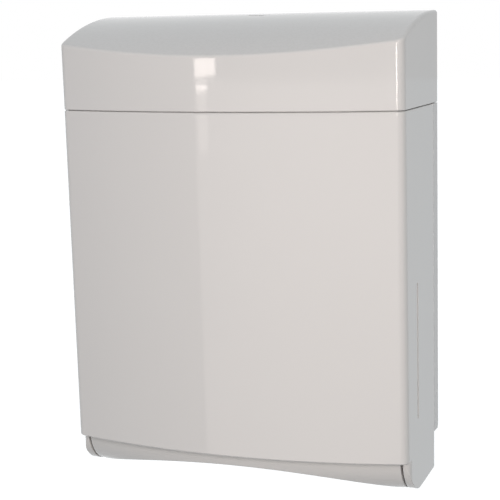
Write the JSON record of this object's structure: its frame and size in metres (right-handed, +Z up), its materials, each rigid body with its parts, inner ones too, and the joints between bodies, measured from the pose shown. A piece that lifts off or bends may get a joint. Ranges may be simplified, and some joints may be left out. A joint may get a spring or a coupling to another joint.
{
  "type": "paper towel dispenser",
  "caption": "Wall-mounted folded paper towel dispenser: bowed door that swings down from the bottom, crowned hood, arched chin over the outlet and a sprung key latch inside.",
  "frame": {"origin": "centre of the pattern of wall screw holes, on the wall plane at the back", "axes": "+X to the right seen from the front, +Y into the wall, +Z up; the front faces -Y"},
  "size_m": [0.28, 0.1176, 0.3681],
  "materials": {
    "case_plastic": "glossy moulded ABS, warm light grey",
    "plate_plastic": "moulded ABS, semi-gloss light grey",
    "guide_plastic": "smooth moulded polypropylene",
    "bush_plastic": "moulded acetal, natural white",
    "lever_plastic": "moulded acetal, black",
    "sheet_steel": "zinc-plated bent sheet",
    "pin_steel": "ground bright steel",
    "screw_steel": "zinc-plated, pan heads with a cross recess",
    "spring_steel": "drawn spring wire",
    "buffer_rubber": "soft moulded rubber"
  },
  "bodies": {
    "cabinet": {"back_plate": "plate_plastic", "hood": "case_plastic", "hood_screws": "screw_steel", "towel_tray": "case_plastic", "tray_screws": "screw_steel", "tray_buffers": "buffer_rubber", "right_towel_guide": "guide_plastic", "left_towel_guide": "guide_plastic", "right_hinge_pin": "pin_steel", "left_hinge_pin": "pin_steel", "hinge_clips": "spring_steel", "latch_bracket": "sheet_steel", "latch_bracket_screws": "screw_steel", "latch_pivot_pin": "pin_steel", "latch_pin_clip": "spring_steel", "latch_spring": "spring_steel"},
    "door": {"door": "case_plastic", "right_hinge_bush": "bush_plastic", "left_hinge_bush": "bush_plastic", "catch_plate": "sheet_steel", "catch_screws": "screw_steel"},
    "latch": {"latch_lever": "lever_plastic"}
  },
  "joints": [
    {"name": "door_hinge", "type": "hinge", "parent": "cabinet", "child": "door", "pos_m": [0, -0.02, -0.171], "axis": [1, 0, 0], "range_deg": [0, 90]},
    {"name": "latch_pivot", "type": "hinge", "parent": "cabinet", "child": "latch", "pos_m": [0, -0.062, 0.123], "axis": [-1, 0, 0], "range_deg": [0, 10], "stiffness_Nm_per_rad": 0.8, "springref_deg": -5.73, "deforming": ["latch_spring"]}
  ]
}
